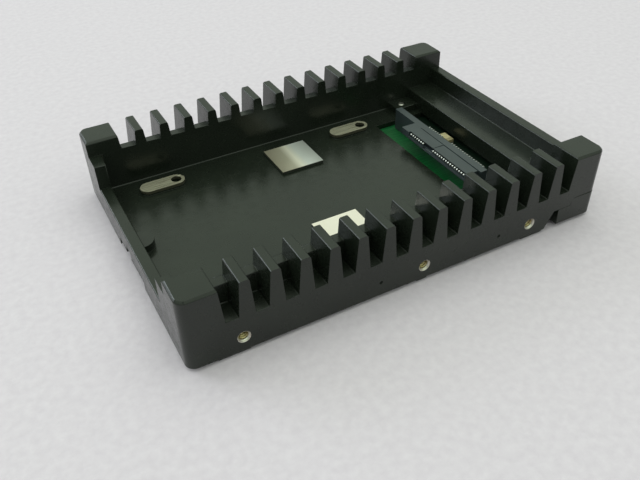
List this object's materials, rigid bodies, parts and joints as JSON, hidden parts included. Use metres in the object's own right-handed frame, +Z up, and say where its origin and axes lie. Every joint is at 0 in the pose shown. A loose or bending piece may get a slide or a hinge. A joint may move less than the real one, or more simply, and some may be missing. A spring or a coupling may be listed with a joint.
{
  "type": "drive mounting bracket",
  "caption": "Black finned cast tray that holds a small drive in a larger drive bay, with a socket and adapter board at one end, thermal pads on the floor and threaded side holes.",
  "frame": {"origin": "middle of the underside, level with the feet", "axes": "+X along the length towards the connector end, +Y across the width, +Z up out of the open bay"},
  "size_m": [0.147, 0.1016, 0.0261],
  "materials": {
    "black_casting": "satin black paint",
    "board": "green solder mask",
    "connector_plastic": "moulded",
    "contact_metal": "plated",
    "tinned_steel": "tinned",
    "capacitor_body": "moulded",
    "screw_steel": "zinc plated",
    "pad_rubber": "soft",
    "pad_foil": "bright foil"
  },
  "bodies": {
    "root": {"finned_tray": "black_casting", "rear_cover": "black_casting", "adapter_board": "board", "drive_socket_housing": "connector_plastic", "drive_socket_signal_contacts": "contact_metal", "drive_socket_power_contacts": "contact_metal", "drive_socket_hold_downs": "tinned_steel", "host_plug_housing": "connector_plastic", "host_plug_signal_contacts": "contact_metal", "host_plug_power_contacts": "contact_metal", "host_plug_hold_downs": "tinned_steel", "tantalum_capacitor": "capacitor_body", "capacitor_terminals": "tinned_steel", "board_screws": "screw_steel", "cover_screws": "screw_steel", "thermal_pad_far": "pad_rubber", "thermal_pad_near": "pad_rubber", "pad_foil_far": "pad_foil", "pad_foil_near": "pad_foil"}
  },
  "joints": []
}
